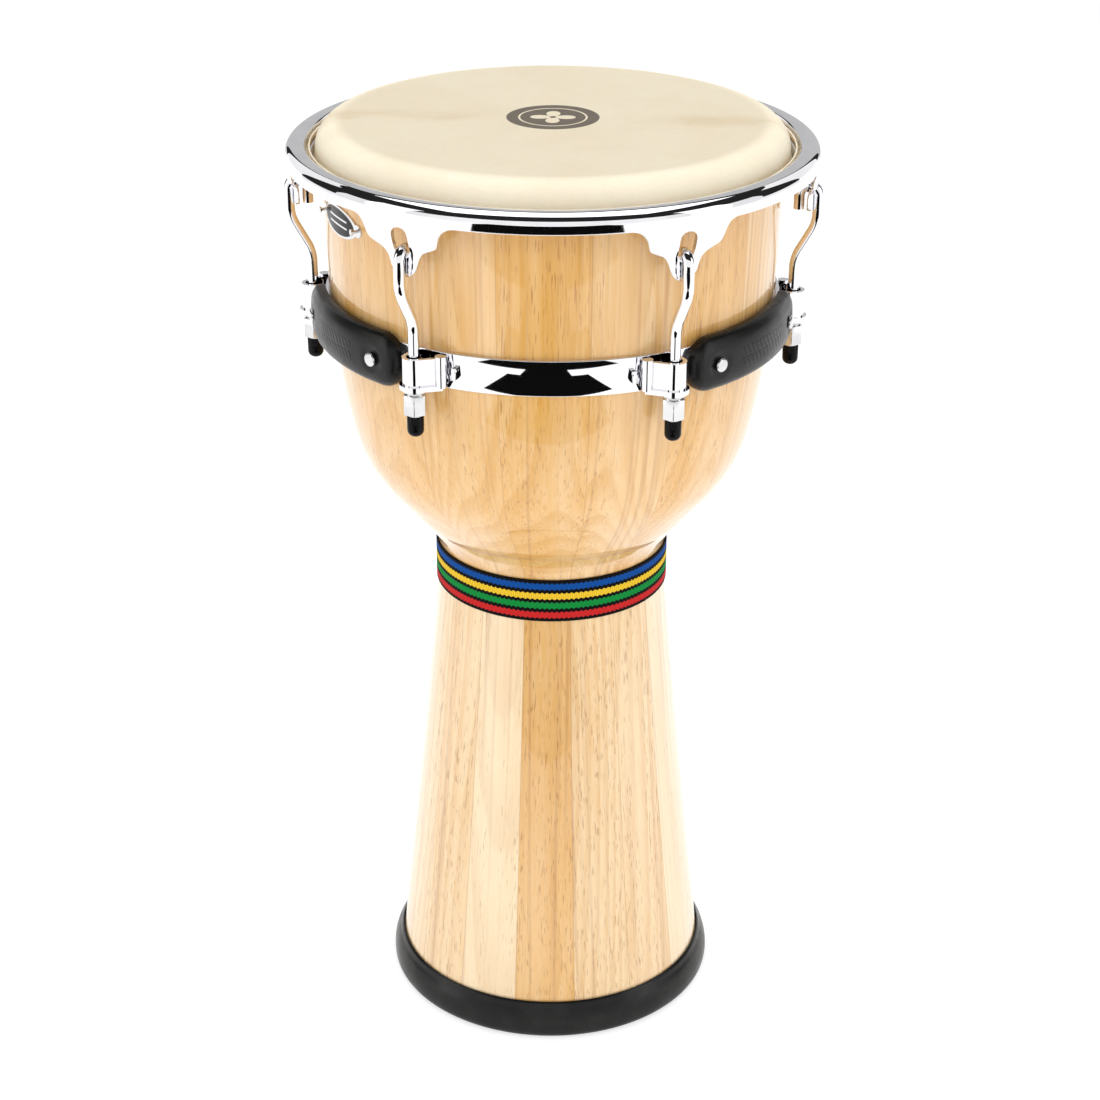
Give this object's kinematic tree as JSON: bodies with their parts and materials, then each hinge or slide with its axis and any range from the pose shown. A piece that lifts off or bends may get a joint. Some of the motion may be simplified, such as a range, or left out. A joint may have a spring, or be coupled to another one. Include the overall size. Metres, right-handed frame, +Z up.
{
  "type": "stave-built djembe with a mechanically tuned head",
  "caption": "Goblet-shaped hand drum with a wooden stave shell, a skin head under a chromed tuning rim with hooks and nuts, grips, a webbing band at the waist and a rubber foot.",
  "frame": {"origin": "centre of the foot ring's contact with the floor", "axes": "+Z up along the drum's axis; -Y towards the front, with lugs 30 degrees to each side of it"},
  "size_m": [0.344, 0.3368, 0.622],
  "materials": {
    "shell_wood": "clear gloss lacquer over pale rubberwood staves",
    "skin": "natural pale skin, smooth, matte",
    "chrome": "bright mirror chrome",
    "zinc_steel": "bright plated steel",
    "badge_metal": "polished plate with a darkened field",
    "foot_rubber": "satin moulded rubber",
    "handle_rubber": "satin moulded rubber",
    "cap_rubber": "glossy black vinyl",
    "strap_webbing": "woven webbing in blue, yellow, green and red stripes with black borders"
  },
  "bodies": {
    "shell": {"bowl_staves": "shell_wood", "pipe_staves": "shell_wood", "foot_ring": "foot_rubber", "waist_strap": "strap_webbing", "name_badge": "badge_metal", "badge_pins": "zinc_steel", "head_skin": "skin", "band": "chrome", "lug_bracket_1": "chrome", "lug_bracket_2": "chrome", "lug_bracket_3": "chrome", "lug_bracket_4": "chrome", "lug_bracket_5": "chrome", "lug_bracket_6": "chrome", "tuning_washers": "zinc_steel", "handle_1": "handle_rubber", "handle_2": "handle_rubber", "handle_3": "handle_rubber", "handle_rivets": "zinc_steel"},
    "rim": {"rim": "chrome", "flesh_hoop": "zinc_steel", "skin_wrap": "skin", "tuning_hook_1": "chrome", "tuning_hook_2": "chrome", "tuning_hook_3": "chrome", "tuning_hook_4": "chrome", "tuning_hook_5": "chrome", "tuning_hook_6": "chrome", "end_cap_1": "cap_rubber", "end_cap_2": "cap_rubber", "end_cap_3": "cap_rubber", "end_cap_4": "cap_rubber", "end_cap_5": "cap_rubber", "end_cap_6": "cap_rubber"},
    "nut_1": {"tuning_nut_1": "zinc_steel"},
    "nut_2": {"tuning_nut_2": "zinc_steel"},
    "nut_3": {"tuning_nut_3": "zinc_steel"},
    "nut_4": {"tuning_nut_4": "zinc_steel"},
    "nut_5": {"tuning_nut_5": "zinc_steel"},
    "nut_6": {"tuning_nut_6": "zinc_steel"}
  },
  "joints": [
    {"name": "rim_travel", "type": "slide", "parent": "shell", "child": "rim", "axis": [0, 0, 1], "range_m": [-0.003, 0.00088]},
    {"name": "nut_1_turn", "type": "hinge", "parent": "shell", "child": "nut_1", "pos_m": [-0.07775, -0.13467, 0.482], "axis": [0, 0, 1], "range_deg": [-254, 866]},
    {"name": "nut_2_turn", "type": "hinge", "parent": "shell", "child": "nut_2", "pos_m": [0.07775, -0.13467, 0.482], "axis": [0, 0, 1], "range_deg": [-254, 866]},
    {"name": "nut_3_turn", "type": "hinge", "parent": "shell", "child": "nut_3", "pos_m": [0.1555, 0, 0.482], "axis": [0, 0, 1], "range_deg": [-254, 866]},
    {"name": "nut_4_turn", "type": "hinge", "parent": "shell", "child": "nut_4", "pos_m": [0.07775, 0.13467, 0.482], "axis": [0, 0, 1], "range_deg": [-254, 866]},
    {"name": "nut_5_turn", "type": "hinge", "parent": "shell", "child": "nut_5", "pos_m": [-0.07775, 0.13467, 0.482], "axis": [0, 0, 1], "range_deg": [-254, 866]},
    {"name": "nut_6_turn", "type": "hinge", "parent": "shell", "child": "nut_6", "pos_m": [-0.1555, 0, 0.482], "axis": [0, 0, 1], "range_deg": [-254, 866]}
  ],
  "couplings": [
    {"joint": "nut_1_turn", "follows": "rim_travel", "rad_per_m": -5026.5},
    {"joint": "nut_2_turn", "follows": "rim_travel", "rad_per_m": -5026.5},
    {"joint": "nut_3_turn", "follows": "rim_travel", "rad_per_m": -5026.5},
    {"joint": "nut_4_turn", "follows": "rim_travel", "rad_per_m": -5026.5},
    {"joint": "nut_5_turn", "follows": "rim_travel", "rad_per_m": -5026.5},
    {"joint": "nut_6_turn", "follows": "rim_travel", "rad_per_m": -5026.5}
  ]
}
